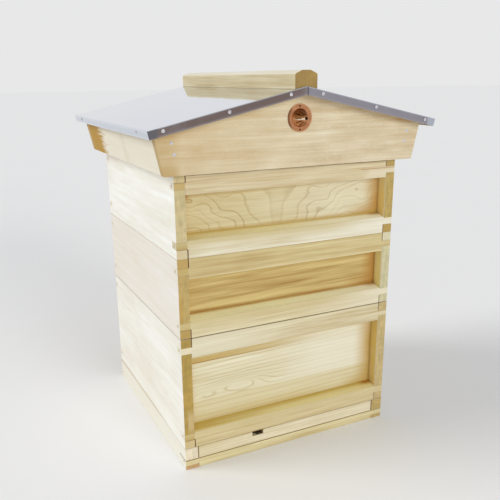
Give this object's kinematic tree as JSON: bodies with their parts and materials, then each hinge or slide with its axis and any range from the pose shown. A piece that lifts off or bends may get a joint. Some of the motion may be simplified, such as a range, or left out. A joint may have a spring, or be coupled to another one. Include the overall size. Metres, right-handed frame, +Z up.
{
  "type": "national beehive",
  "caption": "Square stacked beehive with hanging frames, slotted excluder, mesh floor with entrance block and tray, crown board and metal-clad gabled roof.",
  "frame": {"origin": "on the ground under the middle of the hive", "axes": "+Z up, the entrance faces -Y, +X to the right of the entrance as seen from the front"},
  "size_m": [0.5698, 0.55, 0.7343],
  "materials": {
    "wall_wood": "planed pale softwood",
    "panel_wood": "planed, strong grain",
    "rail_wood": "planed softwood",
    "roof_wood": "planed softwood",
    "frame_wood": "fine sawn softwood",
    "plywood": "sanded plywood",
    "wax": "beeswax",
    "galvanised": "galvanised",
    "mesh_steel": "woven wire",
    "roof_metal": "mill finish sheet",
    "nail_steel": "bright nails",
    "copper": "bright copper",
    "tray_plastic": "plastic board"
  },
  "bodies": {
    "floor": {"floor_left_rail": "wall_wood", "floor_right_rail": "wall_wood", "floor_front_rail": "rail_wood", "floor_back_rail": "rail_wood", "floor_mesh": "mesh_steel"},
    "entrance_block": {"entrance_block": "rail_wood"},
    "inspection_tray": {"inspection_tray": "tray_plastic"},
    "brood_box": {"brood_left_wall": "wall_wood", "brood_right_wall": "wall_wood", "brood_front_panel": "panel_wood", "brood_back_panel": "panel_wood", "brood_front_top_rail": "rail_wood", "brood_back_top_rail": "rail_wood", "brood_bottom_rails": "rail_wood", "brood_frame_runners": "galvanised", "brood_nails": "nail_steel"},
    "brood_frames": {"brood_top_bars": "frame_wood", "brood_side_bars": "frame_wood", "brood_bottom_bars": "frame_wood", "brood_wax_sheets": "wax"},
    "lower_super": {"lower_super_left_wall": "wall_wood", "lower_super_right_wall": "wall_wood", "lower_super_front_panel": "panel_wood", "lower_super_back_panel": "panel_wood", "lower_super_front_top_rail": "rail_wood", "lower_super_back_top_rail": "rail_wood", "lower_super_bottom_rails": "rail_wood", "lower_super_frame_runners": "galvanised", "lower_super_nails": "nail_steel"},
    "lower_super_frames": {"lower_super_top_bars": "frame_wood", "lower_super_side_bars": "frame_wood", "lower_super_bottom_bars": "frame_wood", "lower_super_wax_sheets": "wax"},
    "upper_super": {"upper_super_left_wall": "wall_wood", "upper_super_right_wall": "wall_wood", "upper_super_front_panel": "panel_wood", "upper_super_back_panel": "panel_wood", "upper_super_front_top_rail": "rail_wood", "upper_super_back_top_rail": "rail_wood", "upper_super_bottom_rails": "rail_wood", "upper_super_frame_runners": "galvanised", "upper_super_nails": "nail_steel"},
    "upper_super_frames": {"upper_super_top_bars": "frame_wood", "upper_super_side_bars": "frame_wood", "upper_super_bottom_bars": "frame_wood", "upper_super_wax_sheets": "wax"},
    "queen_excluder": {"queen_excluder": "galvanised"},
    "crown_board": {"crown_board": "plywood", "crown_board_rims": "rail_wood"},
    "roof": {"roof_front_gable": "roof_wood", "roof_back_gable": "roof_wood", "roof_left_side": "roof_wood", "roof_right_side": "roof_wood", "roof_decks": "plywood", "roof_corner_blocks": "rail_wood", "roof_sheet": "roof_metal", "roof_ridge_block": "roof_wood", "roof_vent_cones": "copper", "roof_sheet_nails": "nail_steel", "roof_gable_nails": "nail_steel"}
  },
  "joints": [
    {"name": "entrance_block_slide", "type": "slide", "parent": "floor", "child": "entrance_block", "axis": [0, -1, 0], "range_m": [0, 0.08]},
    {"name": "inspection_tray_slide", "type": "slide", "parent": "floor", "child": "inspection_tray", "axis": [0, 1, 0], "range_m": [0, 0.4]},
    {"name": "brood_box_lift", "type": "slide", "parent": "floor", "child": "brood_box", "axis": [0, 0, 1], "range_m": [0, 0.12]},
    {"name": "brood_frames_lift", "type": "slide", "parent": "brood_box", "child": "brood_frames", "axis": [0, 0, 1], "range_m": [0, 0.23]},
    {"name": "queen_excluder_lift", "type": "slide", "parent": "brood_frames", "child": "queen_excluder", "axis": [0, 0, 1], "range_m": [0, 0.05]},
    {"name": "lower_super_lift", "type": "slide", "parent": "queen_excluder", "child": "lower_super", "axis": [0, 0, 1], "range_m": [0, 0.1]},
    {"name": "lower_super_frames_lift", "type": "slide", "parent": "lower_super", "child": "lower_super_frames", "axis": [0, 0, 1], "range_m": [0, 0.15]},
    {"name": "upper_super_lift", "type": "slide", "parent": "lower_super_frames", "child": "upper_super", "axis": [0, 0, 1], "range_m": [0, 0.1]},
    {"name": "upper_super_frames_lift", "type": "slide", "parent": "upper_super", "child": "upper_super_frames", "axis": [0, 0, 1], "range_m": [0, 0.15]},
    {"name": "crown_board_lift", "type": "slide", "parent": "upper_super_frames", "child": "crown_board", "axis": [0, 0, 1], "range_m": [0, 0.08]},
    {"name": "roof_lift", "type": "slide", "parent": "crown_board", "child": "roof", "axis": [0, 0, 1], "range_m": [0, 0.18]}
  ]
}
